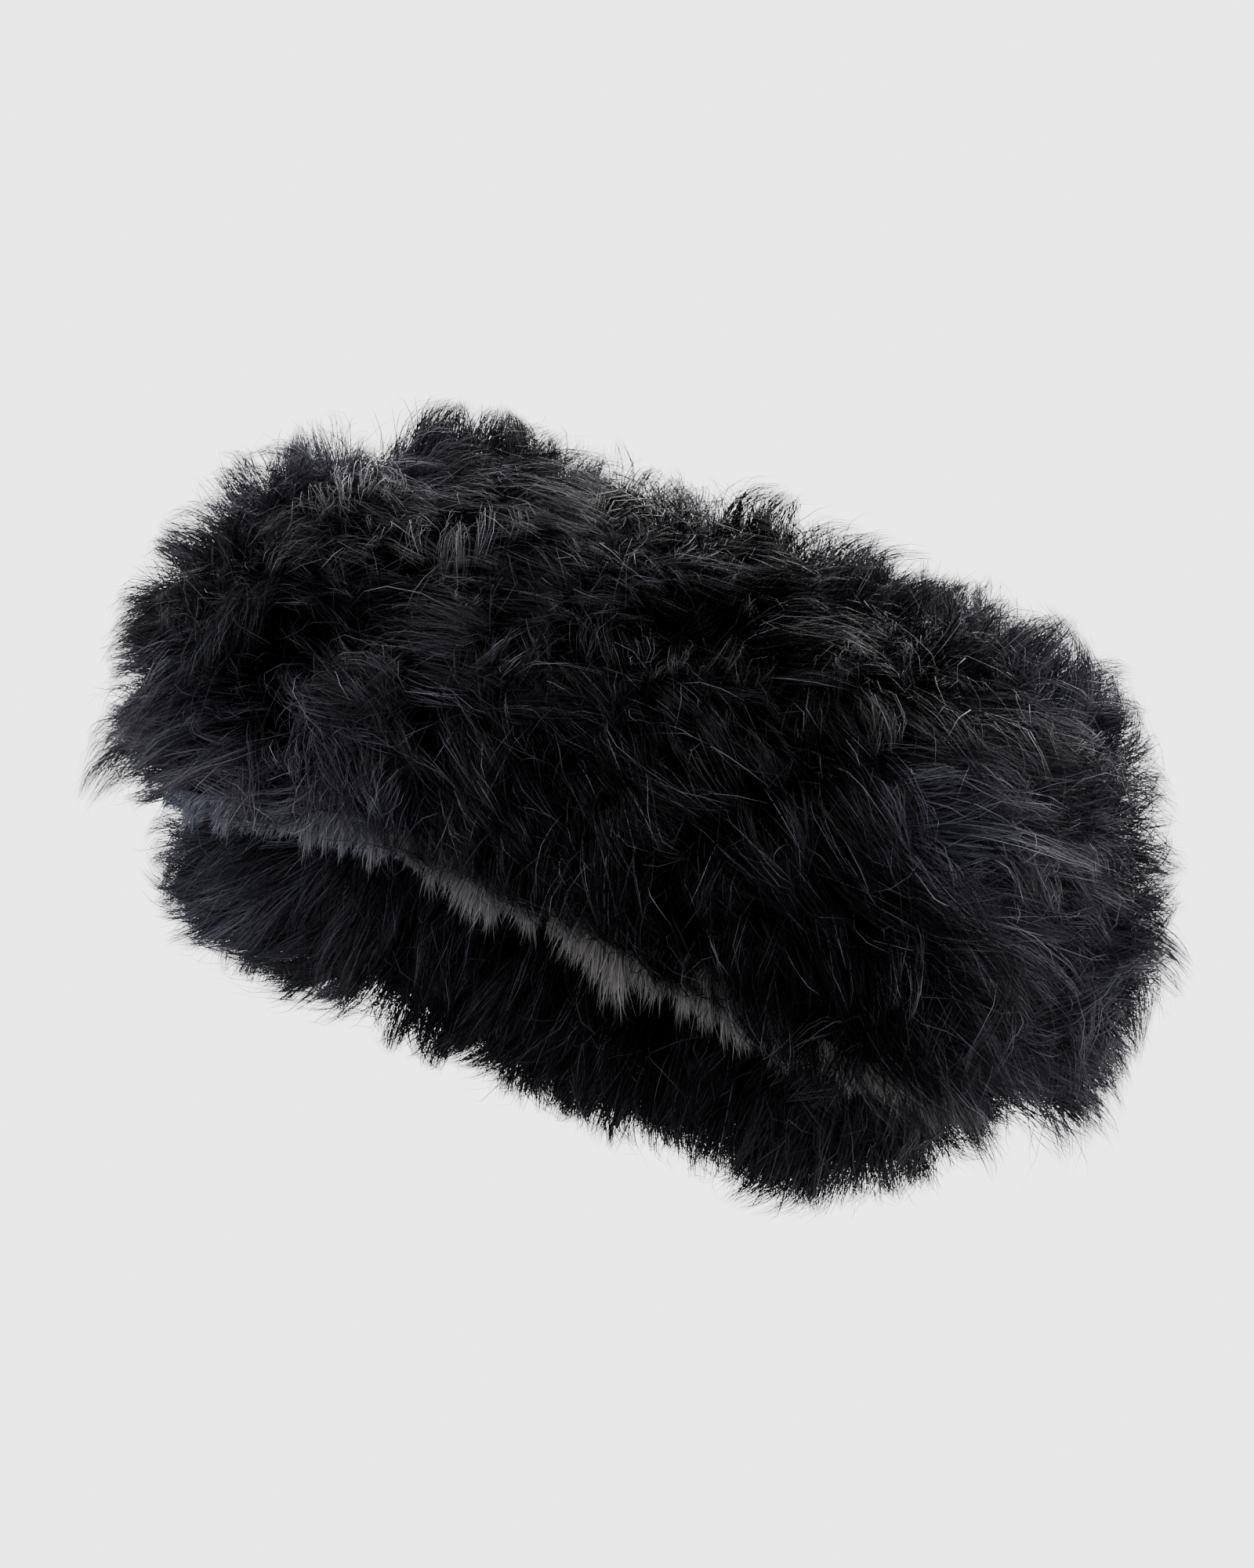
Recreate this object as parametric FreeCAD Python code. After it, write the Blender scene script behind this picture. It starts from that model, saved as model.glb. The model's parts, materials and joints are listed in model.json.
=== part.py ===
import FreeCAD, Part
import math
import os

from FreeCAD import Vector

# Long-pile fur windscreen, lying on its lower panel with its mouth to the front.
# Frame: X along the length, -Y out of the mouth, +Z up, origin in the middle of the
# bottom face. Every fur panel is drawn as the envelope of its pile.

# ---- driving dimensions, mm -------------------------------------------------------
LENGTH = 280.0            # over the pile, end to end
DEPTH = 156.0             # over the pile of the upper half, front to back
HEIGHT = 153.0            # over the pile, standing as it lies

PILE = 24.0               # standing pile and its knitted backing
FOAM = 8.0                # open-cell foam liner
LINING = 1.2              # knitted mesh lining

UPPER_RADIUS = DEPTH / 2
UPPER_CENTRE_Z = HEIGHT - UPPER_RADIUS
UPPER_SKIRT_Z = 37.0      # where the rounded skirt of the upper pile would end
UPPER_SKIRT_RADIUS = 30.0

LOWER_LENGTH = 246.0
LOWER_RADIUS = 60.0       # of its rounded ends, seen from above
LOWER_CENTRE_Y = 4.0
LOWER_BEND = 38.0         # radius of the bend from its flat bottom up into its wall

HINGE_Y = 45.0            # the back seam, which the two halves fold about
HINGE_Z = 49.0
OPENING_DEGREES = 30.0
LIP_MIDDLE_Z = 71.0       # mouth lip at the middle of the front
LIP_END_Z = 33.0          # and where its arch would reach the two ends
LIP_GAP = 0.4             # between the closed halves

HEM_HEIGHT = 4.0
ELASTIC_INSET = 27.0
ELASTIC_THICKNESS = 2.0
ELASTIC_EDGE = 1.1        # hem fabric left above and below the elastic
ROLL_RADIUS = 4.5
ROLL_LENGTH = 150.0
ROLL_CLEARANCE = 1.1

GUSSET_INSET = 35.0
GUSSET_THICKNESS = 1.2
GUSSET_HEIGHT = 14.0
GUSSET_START = 0.62       # share of the half length where a gusset begins

STITCH_LENGTH = 4.5
STITCH_THICKNESS = 0.8
STITCH_PITCH = 9.0
STITCH_GAP = 0.15         # thread standing off a wall that curves along it

LABEL_WIDTH = 24.0
LABEL_HEIGHT = 9.0
LABEL_THICKNESS = 0.6

FAR = 300.0               # longer than anything here, for cutting solids

os.makedirs("parts", exist_ok=True)


def save(name, solids):
    """Write one node, made of one or more separate solids."""
    shape = solids[0] if len(solids) == 1 else Part.makeCompound(solids)
    shape.exportStep("parts/" + name + ".step")


def box(low, high):
    size = Vector(*high) - Vector(*low)
    return Part.makeBox(size.x, size.y, size.z, Vector(*low))


def line(a, b):
    return Part.LineSegment(a, b).toShape()


def arc(a, middle, b):
    return Part.Arc(a, middle, b).toShape()


# ---- the two rounded halves --------------------------------------------------------
def upper_profile(radius, skirt_radius, skirt_z):
    """Half section of the upper half: a quarter dome on a wall with a rounded skirt."""
    slant = math.sqrt(0.5)
    top = Vector(0, 0, UPPER_CENTRE_Z + radius)
    shoulder = Vector(radius, 0, UPPER_CENTRE_Z)
    dome = arc(top, Vector(radius * slant, 0, UPPER_CENTRE_Z + radius * slant), shoulder)
    foot = Vector(0, 0, skirt_z)
    if skirt_radius == 0:
        corner = Vector(radius, 0, skirt_z)
        return [dome, line(shoulder, corner), line(corner, foot), line(foot, top)]
    wall_end = Vector(radius, 0, skirt_z + skirt_radius)
    skirt_end = Vector(radius - skirt_radius, 0, skirt_z)
    bend = skirt_radius * (1 - slant)
    skirt = arc(wall_end, Vector(radius - bend, 0, skirt_z + bend), skirt_end)
    return [dome, line(shoulder, wall_end), skirt, line(skirt_end, foot), line(foot, top)]


def lower_profile(radius, bend):
    """Half section of the lower half: a flat bottom that bends up into a straight wall."""
    slant = math.sqrt(0.5)
    floor_z = LOWER_BEND - bend
    middle = Vector(0, 0, floor_z)
    flat_end = Vector(radius - bend, 0, floor_z)
    side = Vector(radius, 0, LOWER_BEND)
    bowl = arc(flat_end, side + Vector(-bend * (1 - slant), 0, -bend * slant), side)
    rim = Vector(radius, 0, HEIGHT)
    top = Vector(0, 0, HEIGHT)
    return [line(middle, flat_end), bowl, line(side, rim), line(rim, top), line(top, middle)]


def sections(profile, straight, centre_y):
    """Left end, middle and right end of a half whose ends are turned from its profile."""
    face = Part.Face(Part.Wire(profile))
    right = face.copy()
    right.rotate(Vector(0, 0, 0), Vector(0, 0, 1), -90)
    right = right.revolve(Vector(0, 0, 0), Vector(0, 0, 1), 180)
    right.translate(Vector(straight, centre_y, 0))
    left = right.mirror(Vector(0, centre_y, 0), Vector(1, 0, 0))
    middle = []
    for turn in (-90, 90):
        half = face.copy()
        half.rotate(Vector(0, 0, 0), Vector(0, 0, 1), turn)
        half.translate(Vector(-straight, centre_y, 0))
        middle.append(half.extrude(Vector(2 * straight, 0, 0)))
    return [left, middle[0].fuse(middle[1]).removeSplitter(), right]


def upper_sections(inset):
    straight = LENGTH / 2 - UPPER_RADIUS
    skirt = UPPER_SKIRT_RADIUS if inset == 0 else 0
    skirt_z = UPPER_SKIRT_Z if inset == 0 else 0
    return sections(upper_profile(UPPER_RADIUS - inset, skirt, skirt_z), straight, 0)


def lower_sections(inset):
    straight = LOWER_LENGTH / 2 - LOWER_RADIUS
    profile = lower_profile(LOWER_RADIUS - inset, LOWER_BEND - inset)
    return sections(profile, straight, LOWER_CENTRE_Y)


def whole(parts):
    return parts[0].multiFuse(parts[1:]).removeSplitter()


def upper_solid(inset):
    return whole(upper_sections(inset))


def lower_solid(inset):
    return whole(lower_sections(inset))


# ---- the mouth, a surface ruled from the arched front lip to the straight back seam -
def below_mouth(lift):
    """Everything below the mouth surface, raised by lift."""
    front_y = -100.0
    reach = (HINGE_Y - front_y) / (HINGE_Y + UPPER_RADIUS)
    half_width = 150.0
    fall = (LIP_MIDDLE_Z - LIP_END_Z) * (2 * half_width / LENGTH) ** 2
    middle_z = HINGE_Z + reach * (LIP_MIDDLE_Z - HINGE_Z) + lift
    end_z = HINGE_Z + reach * (LIP_MIDDLE_Z - fall - HINGE_Z) + lift
    wires = []
    for y, top_z, side_z in ((front_y, middle_z, end_z), (HINGE_Y, None, HINGE_Z + lift)):
        corners = [Vector(-half_width, y, side_z), Vector(half_width, y, side_z),
                   Vector(half_width, y, -FAR), Vector(-half_width, y, -FAR)]
        lip = line(corners[0], corners[1])
        if top_z is not None:
            lip = arc(corners[0], Vector(0, y, top_z), corners[1])
        edges = [lip] + [line(corners[i], corners[(i + 1) % 4]) for i in (1, 2, 3)]
        wires.append(Part.Wire(edges))
    front = Part.makeLoft(wires, True, True)
    back = box((-half_width, HINGE_Y, -FAR), (half_width, FAR, HINGE_Z + lift))
    return front.fuse(back)


def hinge_rod(radius, length):
    return Part.makeCylinder(radius, length, Vector(-length / 2, HINGE_Y, HINGE_Z), Vector(1, 0, 0))


def back_wedge():
    """Room behind the back seam for the upper pile to fold down into."""
    slope = math.tan(math.radians(OPENING_DEGREES + 3))
    run = 60.0
    points = [Vector(-FAR / 2, HINGE_Y, HINGE_Z - 0.5),
              Vector(-FAR / 2, HINGE_Y + run, HINGE_Z - 0.5 - run * slope),
              Vector(-FAR / 2, HINGE_Y + run, FAR),
              Vector(-FAR / 2, HINGE_Y, FAR)]
    return Part.Face(Part.makePolygon(points + points[:1])).extrude(Vector(FAR, 0, 0))


# Surfaces that bound the layers of each half.
UNDER_UPPER = below_mouth(LIP_GAP / 2)
UNDER_LOWER = below_mouth(-LIP_GAP / 2)
UPPER_HEM_TOP = below_mouth(LIP_GAP / 2 + HEM_HEIGHT)
LOWER_HEM_BOTTOM = below_mouth(-LIP_GAP / 2 - HEM_HEIGHT)
FRONT = box((-FAR, -FAR, -FAR), (FAR, HINGE_Y - 9, FAR))
ROLL_ROOM = hinge_rod(ROLL_RADIUS + ROLL_CLEARANCE, ROLL_LENGTH + 4)
ROLL = hinge_rod(ROLL_RADIUS, ROLL_LENGTH)
FUR_INSET = PILE
FOAM_INSET = PILE + FOAM
INNER_INSET = PILE + FOAM + LINING


# ---- upper half --------------------------------------------------------------------
def upper_hem_shell(outer, inner):
    return upper_solid(outer).cut(upper_solid(inner)).common(FRONT)


def make_upper_half():
    hollow = upper_solid(FUR_INSET)
    for side, shape in zip(("left_end", "centre", "right_end"), upper_sections(0)):
        fur = shape.cut(hollow).cut(UNDER_UPPER).cut(ROLL_ROOM)
        save("upper_" + side + "_fur", fur.Solids)

    hem = upper_hem_shell(FUR_INSET, INNER_INSET).common(UPPER_HEM_TOP).cut(UNDER_UPPER)
    foam = upper_solid(FUR_INSET).cut(upper_solid(FOAM_INSET)).cut(UNDER_UPPER)
    save("upper_foam_liner", foam.cut(hem).cut(ROLL_ROOM).Solids)
    lining = upper_solid(FOAM_INSET).cut(upper_solid(INNER_INSET)).cut(UNDER_UPPER)
    save("upper_lining", lining.cut(hem).cut(ROLL_ROOM).Solids)

    elastic = upper_hem_shell(ELASTIC_INSET, ELASTIC_INSET + ELASTIC_THICKNESS)
    elastic = elastic.common(below_mouth(LIP_GAP / 2 + HEM_HEIGHT - ELASTIC_EDGE))
    elastic = elastic.cut(below_mouth(LIP_GAP / 2 + ELASTIC_EDGE))
    save("upper_hem_elastic", elastic.Solids)
    save("upper_hem_binding", hem.cut(elastic).cut(ROLL_ROOM).Solids)


# ---- lower half --------------------------------------------------------------------
def lower_hem_shell(outer, inner):
    return lower_solid(outer).cut(lower_solid(inner)).common(FRONT)


def make_lower_half():
    hollow = lower_solid(FUR_INSET)
    for side, shape in zip(("left_end", "centre", "right_end"), lower_sections(0)):
        fur = shape.cut(hollow).common(UNDER_LOWER)
        save("lower_" + side + "_fur", fur.cut(back_wedge()).cut(ROLL_ROOM).Solids)

    hem = lower_hem_shell(FUR_INSET, INNER_INSET).common(UNDER_LOWER).cut(LOWER_HEM_BOTTOM)
    foam = lower_solid(FUR_INSET).cut(lower_solid(FOAM_INSET)).common(UNDER_LOWER)
    save("lower_foam_liner", foam.cut(hem).cut(ROLL_ROOM).Solids)
    lining = lower_solid(FOAM_INSET).cut(lower_solid(INNER_INSET)).common(UNDER_LOWER)
    save("lower_lining", lining.cut(hem).cut(ROLL_ROOM).Solids)

    elastic = lower_hem_shell(ELASTIC_INSET, ELASTIC_INSET + ELASTIC_THICKNESS)
    elastic = elastic.common(below_mouth(-LIP_GAP / 2 - ELASTIC_EDGE))
    elastic = elastic.cut(below_mouth(-LIP_GAP / 2 - HEM_HEIGHT + ELASTIC_EDGE))
    save("lower_hem_elastic", elastic.Solids)
    save("lower_hem_binding", hem.cut(elastic).cut(ROLL_ROOM).Solids)


# ---- stitching ---------------------------------------------------------------------
def lip_height(x, y):
    """Height of the mouth surface: straight from the front lip's arch to the back seam."""
    front = LIP_MIDDLE_Z - (LIP_MIDDLE_Z - LIP_END_Z) * (2 * x / LENGTH) ** 2
    return HINGE_Z + (front - HINGE_Z) * (HINGE_Y - y) / (HINGE_Y + UPPER_RADIUS)


def hem_stitches(straight, radius, centre_y, offset):
    """Run of stitches along a hem, offset in height from the mouth surface.

    The path runs round the left end, along the front and round the right end, so a
    distance s from its middle is on the straight while |s| < straight, and past that it
    has turned through (|s| - straight) / radius.
    """
    reach = straight + radius * math.radians(100)
    count = int(reach / STITCH_PITCH)
    stitches = []
    for step in range(-count, count + 1):
        s = step * STITCH_PITCH
        turn = max(0.0, abs(s) - straight) / radius
        side = math.copysign(1.0, s)
        x = s if turn == 0 else side * (straight + radius * math.sin(turn))
        y = centre_y - radius * math.cos(turn)
        stitch = box((-STITCH_LENGTH / 2, 0, -STITCH_THICKNESS / 2),
                     (STITCH_LENGTH / 2, STITCH_THICKNESS, STITCH_THICKNESS / 2))
        stitch.rotate(Vector(0, 0, 0), Vector(0, 0, 1), side * math.degrees(turn))
        stitch.translate(Vector(x, y, lip_height(x, y) + offset))
        stitches.append(stitch)
    return stitches


def make_stitching():
    offset = LIP_GAP / 2 + HEM_HEIGHT / 2
    inside = UPPER_RADIUS - INNER_INSET - STITCH_GAP
    save("upper_hem_stitching", hem_stitches(LENGTH / 2 - UPPER_RADIUS, inside, 0, offset))
    inside = LOWER_RADIUS - INNER_INSET - STITCH_GAP
    straight = LOWER_LENGTH / 2 - LOWER_RADIUS
    save("lower_hem_stitching", hem_stitches(straight, inside, LOWER_CENTRE_Y, -offset))


# ---- back seam, mouth gussets and label --------------------------------------------
def make_back_seam():
    save("back_seam_roll", [ROLL])
    stitches = []
    count = int(ROLL_LENGTH / STITCH_PITCH)
    for step in range(count):
        x = (step - (count - 1) / 2) * STITCH_PITCH
        stitches.append(box((x - STITCH_LENGTH / 2, HINGE_Y - 0.4, HINGE_Z + ROLL_RADIUS),
                            (x + STITCH_LENGTH / 2, HINGE_Y + 0.4, HINGE_Z + ROLL_RADIUS + 0.6)))
    save("back_seam_stitching", stitches)


def make_gussets():
    """Folded stretch fabric standing on the lower half just inside each end of the mouth."""
    shell = upper_solid(GUSSET_INSET).cut(upper_solid(GUSSET_INSET + GUSSET_THICKNESS))
    band = shell.common(below_mouth(GUSSET_HEIGHT)).cut(UNDER_UPPER)
    start = LENGTH / 2 * GUSSET_START
    save("left_mouth_gusset", band.common(box((-FAR, -FAR, -FAR), (-start, 30, FAR))).Solids)
    save("right_mouth_gusset", band.common(box((start, -FAR, -FAR), (FAR, 30, FAR))).Solids)


def make_label():
    wall_y = LOWER_CENTRE_Y + LOWER_RADIUS - INNER_INSET
    low = (-LABEL_WIDTH / 2, wall_y - LABEL_THICKNESS, LOWER_BEND)
    high = (LABEL_WIDTH / 2, wall_y, LOWER_BEND + LABEL_HEIGHT)
    save("blank_label", [box(low, high)])


make_upper_half()
make_lower_half()
make_stitching()
make_back_seam()
make_gussets()
make_label()
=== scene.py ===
import json
import math

import bpy
import numpy as np
from mathutils import Matrix, Vector


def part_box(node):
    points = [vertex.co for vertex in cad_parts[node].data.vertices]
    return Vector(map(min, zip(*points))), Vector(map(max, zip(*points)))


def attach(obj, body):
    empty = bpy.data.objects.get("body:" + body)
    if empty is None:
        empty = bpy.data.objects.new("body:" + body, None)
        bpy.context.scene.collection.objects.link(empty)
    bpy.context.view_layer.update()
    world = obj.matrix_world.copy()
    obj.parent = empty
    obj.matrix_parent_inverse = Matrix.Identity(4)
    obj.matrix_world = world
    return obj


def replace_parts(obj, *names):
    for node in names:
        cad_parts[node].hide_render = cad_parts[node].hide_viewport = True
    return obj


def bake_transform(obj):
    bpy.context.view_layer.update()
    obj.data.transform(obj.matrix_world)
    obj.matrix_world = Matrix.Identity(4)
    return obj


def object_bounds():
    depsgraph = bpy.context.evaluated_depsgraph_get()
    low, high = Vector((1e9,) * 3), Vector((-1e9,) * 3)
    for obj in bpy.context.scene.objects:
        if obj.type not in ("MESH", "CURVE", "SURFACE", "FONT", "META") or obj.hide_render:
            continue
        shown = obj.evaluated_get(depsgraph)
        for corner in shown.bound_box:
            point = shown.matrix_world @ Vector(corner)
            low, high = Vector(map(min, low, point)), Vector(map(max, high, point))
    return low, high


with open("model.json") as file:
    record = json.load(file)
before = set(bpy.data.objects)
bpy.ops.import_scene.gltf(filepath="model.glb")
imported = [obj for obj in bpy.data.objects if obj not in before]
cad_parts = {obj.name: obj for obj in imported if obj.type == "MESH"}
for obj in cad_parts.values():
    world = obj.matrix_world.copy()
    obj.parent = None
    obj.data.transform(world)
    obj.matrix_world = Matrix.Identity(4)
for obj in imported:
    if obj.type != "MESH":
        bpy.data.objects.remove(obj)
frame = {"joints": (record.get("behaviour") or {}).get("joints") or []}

cad_low, cad_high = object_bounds()

# ==== Form of the two halves =======================================================
# The cover is two rounded bodies that meet at a mouth arching along the front and fold
# about the back seam. Each body keeps a set distance from a simple skeleton, so every
# layer of fur, foam and lining is the same body at its own inset from the pile's tips.
UPPER_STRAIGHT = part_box("upper_centre_fur")[1].x
UPPER_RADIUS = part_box("upper_right_end_fur")[1].x - UPPER_STRAIGHT
UPPER_CENTRE_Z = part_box("upper_centre_fur")[1].z - UPPER_RADIUS
LOWER_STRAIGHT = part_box("lower_centre_fur")[1].x
LOWER_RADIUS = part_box("lower_right_end_fur")[1].x - LOWER_STRAIGHT
LOWER_CENTRE_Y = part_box("lower_right_end_fur")[0].y + LOWER_RADIUS
LOWER_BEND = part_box("blank_label")[0].z          # bend from the flat bottom to the wall
HINGE = Vector(frame["joints"][0]["pos_m"])
FRONT_Y = -UPPER_RADIUS
LIP_MIDDLE_Z = 0.071
LIP_END_Z = 0.033
LIP_GAP = 0.0002          # half the gap between the two halves' lips
SKIRT = 0.032
SKIRT_Z = 0.034
PILE = 0.024
FOAM = 0.008
LINING = 0.0012
END_TURN = math.radians(89.6)     # how far a grid goes round each end: not quite to a point
WALL = 0.18               # share of a slice taken by each wall, from the lip to the curve
CLOTH_GRID = (90, 56)     # slices and rows of points in foam and lining
FUR_GRID = (130, 84)      # and in the underfur


def lip_height(x, y):
    """Height of the mouth: an arch at the front, ruled straight back to the hinge."""
    end_x = UPPER_STRAIGHT + UPPER_RADIUS
    front = LIP_MIDDLE_Z - (LIP_MIDDLE_Z - LIP_END_Z) * (x / end_x) ** 2
    share = np.clip((HINGE.y - y) / (HINGE.y - FRONT_Y), 0, None)
    return HINGE.z + (front - HINGE.z) * share


def upper_skeleton(p):
    """A blade under the ridge line, from the dome's centre height downwards."""
    x = np.clip(p[..., 0], -UPPER_STRAIGHT, UPPER_STRAIGHT)
    return np.stack([x, 0 * x, np.minimum(p[..., 2], UPPER_CENTRE_Z)], -1)


def lower_skeleton(p):
    """A flat-bottomed block with rounded ends, one bend radius in from the outside."""
    x = np.clip(p[..., 0], -LOWER_STRAIGHT, LOWER_STRAIGHT)
    dx, dy = p[..., 0] - x, p[..., 1] - LOWER_CENTRE_Y
    reach = np.maximum(np.hypot(dx, dy), 1e-9)
    keep = np.minimum(reach, LOWER_RADIUS - LOWER_BEND) / reach
    z = np.maximum(p[..., 2], LOWER_BEND)
    return np.stack([x + dx * keep, LOWER_CENTRE_Y + dy * keep, z], -1)


HALVES = {"upper": (upper_skeleton, UPPER_RADIUS), "lower": (lower_skeleton, LOWER_BEND)}
BODIES = {"upper": "upper_half", "lower": "lower_half"}


def unit(v):
    """Vectors brought to a length of one."""
    return v / np.maximum(np.linalg.norm(v, axis=-1, keepdims=True), 1e-12)


def lay_on(half, p, inset):
    """Points moved onto the half's surface at this inset, and the outward normals there."""
    skeleton, radius = HALVES[half]
    core = skeleton(p)
    outward = unit(p - core)
    return core + (radius - np.asarray(inset)[..., None]) * outward, outward


def half_grid(half, inset, slices, rows, gap=0.0):
    """Points on a half at an inset, in slices along its length, each from the front lip
    over to the back lip. Past the straight part a slice turns through an angle a round
    the end, at straight + r sin a, and narrows by cos a. Gap lifts the edge off the lip."""
    upper = half == "upper"
    straight = UPPER_STRAIGHT if upper else LOWER_STRAIGHT
    radius = (UPPER_RADIUS if upper else LOWER_RADIUS) - inset
    middle_y = 0.0 if upper else LOWER_CENTRE_Y
    centre_z = UPPER_CENTRE_Z if upper else LOWER_BEND
    reach = straight + radius * END_TURN
    s = np.linspace(-reach, reach, slices)[:, None]
    turn = np.maximum(np.abs(s) - straight, 0) / radius
    x = np.where(turn > 0, np.sign(s) * (straight + radius * np.sin(turn)), s)
    q = np.linspace(0, 1, rows)[None]
    angle = np.clip((q - WALL) / (1 - 2 * WALL), 0, 1) * math.pi
    y = middle_y - radius * np.cos(turn) * np.cos(angle)
    up = 1 if upper else -1
    z = centre_z + up * radius * np.cos(turn) * np.sin(angle)
    climb = np.clip(np.minimum(q, 1 - q) / WALL, 0, 1)
    foot = lip_height(x, y) + up * gap
    z = np.where(climb < 1, foot + (centre_z - foot) * climb, z)
    return np.stack(np.broadcast_arrays(x, y, z), -1)


def lip_path(half, inset, last_y, count):
    """Points along the mouth at an inset, from behind the left end round the front to
    behind the right end, with the outward direction and the distance along the path."""
    upper = half == "upper"
    straight = UPPER_STRAIGHT if upper else LOWER_STRAIGHT
    radius = (UPPER_RADIUS if upper else LOWER_RADIUS) - inset
    middle_y = 0.0 if upper else LOWER_CENTRE_Y
    reach = straight + radius * math.acos(-(last_y - middle_y) / radius)
    s = np.linspace(-reach, reach, count)
    turn = np.sign(s) * np.maximum(np.abs(s) - straight, 0) / radius
    x = np.where(turn == 0, s, np.sign(s) * straight + radius * np.sin(turn))
    y = middle_y - radius * np.cos(turn)
    points = np.stack([x, y, lip_height(x, y)], -1)
    return points, np.stack([np.sin(turn), -np.cos(turn), 0 * turn], -1), s


def ripple(p, wavelength, seed, count=7):
    """Smooth random field of three values per point: a sum of sine waves of about one
    wavelength that run in random directions."""
    rng = np.random.default_rng(seed)
    waves = unit(rng.normal(size=(count, 3))) * rng.uniform(0.7, 1.4, (count, 1))
    waves = waves * math.tau / wavelength
    phase = rng.uniform(0, math.tau, (count, 3))
    angle = p @ waves.T
    return np.sin(angle[..., None] + phase).sum(-2) / math.sqrt(count / 2)


def add_mesh(name, points, corners, starts, material):
    """A mesh from whole arrays: points, the corner list and where each face starts in it."""
    mesh = bpy.data.meshes.new(name)
    mesh.vertices.add(len(points))
    mesh.vertices.foreach_set("co", np.ascontiguousarray(points, np.float32).ravel())
    mesh.loops.add(len(corners))
    mesh.loops.foreach_set("vertex_index", np.ascontiguousarray(corners, np.int32))
    mesh.polygons.add(len(starts))
    mesh.polygons.foreach_set("loop_start", np.ascontiguousarray(starts, np.int32))
    mesh.update(calc_edges=True)
    mesh.materials.append(material)
    piece = bpy.data.objects.new(name, mesh)
    bpy.context.scene.collection.objects.link(piece)
    return piece


def spans(grid):
    """Distance along each direction of a grid of points, in metres, as two arrays."""
    down = np.linalg.norm(np.diff(grid, axis=0, prepend=grid[:1]), axis=-1).cumsum(0)
    over = np.linalg.norm(np.diff(grid, axis=1, prepend=grid[:, :1]), axis=-1).cumsum(1)
    return down, over


def mark_cloth(piece, place):
    """Keeps each point's distance along and across the cloth for the weave to follow."""
    cloth = piece.data.attributes.new("cloth", "FLOAT_VECTOR", "POINT")
    cloth.data.foreach_set("vector", place.astype(np.float32).ravel())


def closed_sheet(name, outer, inner, material):
    """A closed sheet between two grids, joined round the edge, its faces looking out."""
    n, m = outer.shape[:2]
    index = np.arange(n * m).reshape(n, m)
    quads = np.stack([index[:-1, :-1], index[1:, :-1], index[1:, 1:], index[:-1, 1:]], -1)
    quads = quads.reshape(-1, 4)
    rim = np.concatenate([index[0, :-1], index[:-1, -1], index[-1, :0:-1], index[:0:-1, 0]])
    after = np.roll(rim, -1)
    band = np.stack([rim, after, after + n * m, rim + n * m], -1)
    facing = np.cross(outer[1:, :-1] - outer[:-1, :-1], outer[:-1, 1:] - outer[:-1, :-1])
    if (facing * (outer - inner)[:-1, :-1]).sum() < 0:
        quads, band = quads[:, ::-1], band[:, ::-1]
    corners = np.concatenate([quads, quads[:, ::-1] + n * m, band])
    points = np.concatenate([outer.reshape(-1, 3), inner.reshape(-1, 3)])
    piece = add_mesh(name, points, corners.ravel(), np.arange(len(corners)) * 4, material)
    along, across = spans(outer)
    place = np.stack([along, across, 0 * along], -1).reshape(-1, 3)
    mark_cloth(piece, np.tile(place, (2, 1)))
    piece.data.shade_smooth()
    return piece


def thicken(name, middle, thickness, material):
    """A closed sheet of even thickness about a grid of points."""
    normal = unit(np.cross(np.gradient(middle, axis=0), np.gradient(middle, axis=1)))
    half = thickness / 2
    return closed_sheet(name, middle + half * normal, middle - half * normal, material)


def cut_size(grid):
    """Width and length of the flat piece that a grid was cut as, and the area in it."""
    along, across = spans(grid)
    a, b = grid[1:, :-1] - grid[:-1, :-1], grid[:-1, 1:] - grid[:-1, :-1]
    area = float(np.linalg.norm(np.cross(a, b), axis=-1).sum())
    flat = (float(along[-1].max()), float(across[:, -1].max()))
    return flat, min(max(area, 0.3 * flat[0] * flat[1]), flat[0] * flat[1])


# ==== Foam liners ==================================================================
# Open-cell charcoal foam, 8 mm thick, moulded to each half and glued to the backing of
# the pile fabric. It keeps the cover's shape and a still layer of air inside it.
def cell_group():
    """Node group: sponge cells of a given size as a mask that is dark in the pores as
    painted shade in the dents, and the normal that dents them."""
    group = bpy.data.node_groups.new("foam_cells", "ShaderNodeTree")
    for label in ("Scale", "Depth"):
        group.interface.new_socket(label, in_out="INPUT", socket_type="NodeSocketFloat")
    group.interface.new_socket("Mask", in_out="OUTPUT", socket_type="NodeSocketFloat")
    group.interface.new_socket("Normal", in_out="OUTPUT", socket_type="NodeSocketVector")
    nodes, links = group.nodes, group.links
    given, result = nodes.new("NodeGroupInput"), nodes.new("NodeGroupOutput")
    place = nodes.new("ShaderNodeTexCoord")
    cells = nodes.new("ShaderNodeTexVoronoi")
    links.new(place.outputs["Object"], cells.inputs["Vector"])
    links.new(given.outputs["Scale"], cells.inputs["Scale"])
    bump = nodes.new("ShaderNodeBump")
    bump.inputs["Distance"].default_value = 0.0004
    links.new(given.outputs["Depth"], bump.inputs["Strength"])
    links.new(cells.outputs["Distance"], bump.inputs["Height"])
    links.new(cells.outputs["Distance"], result.inputs["Mask"])
    links.new(bump.outputs["Normal"], result.inputs["Normal"])
    return group


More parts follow.
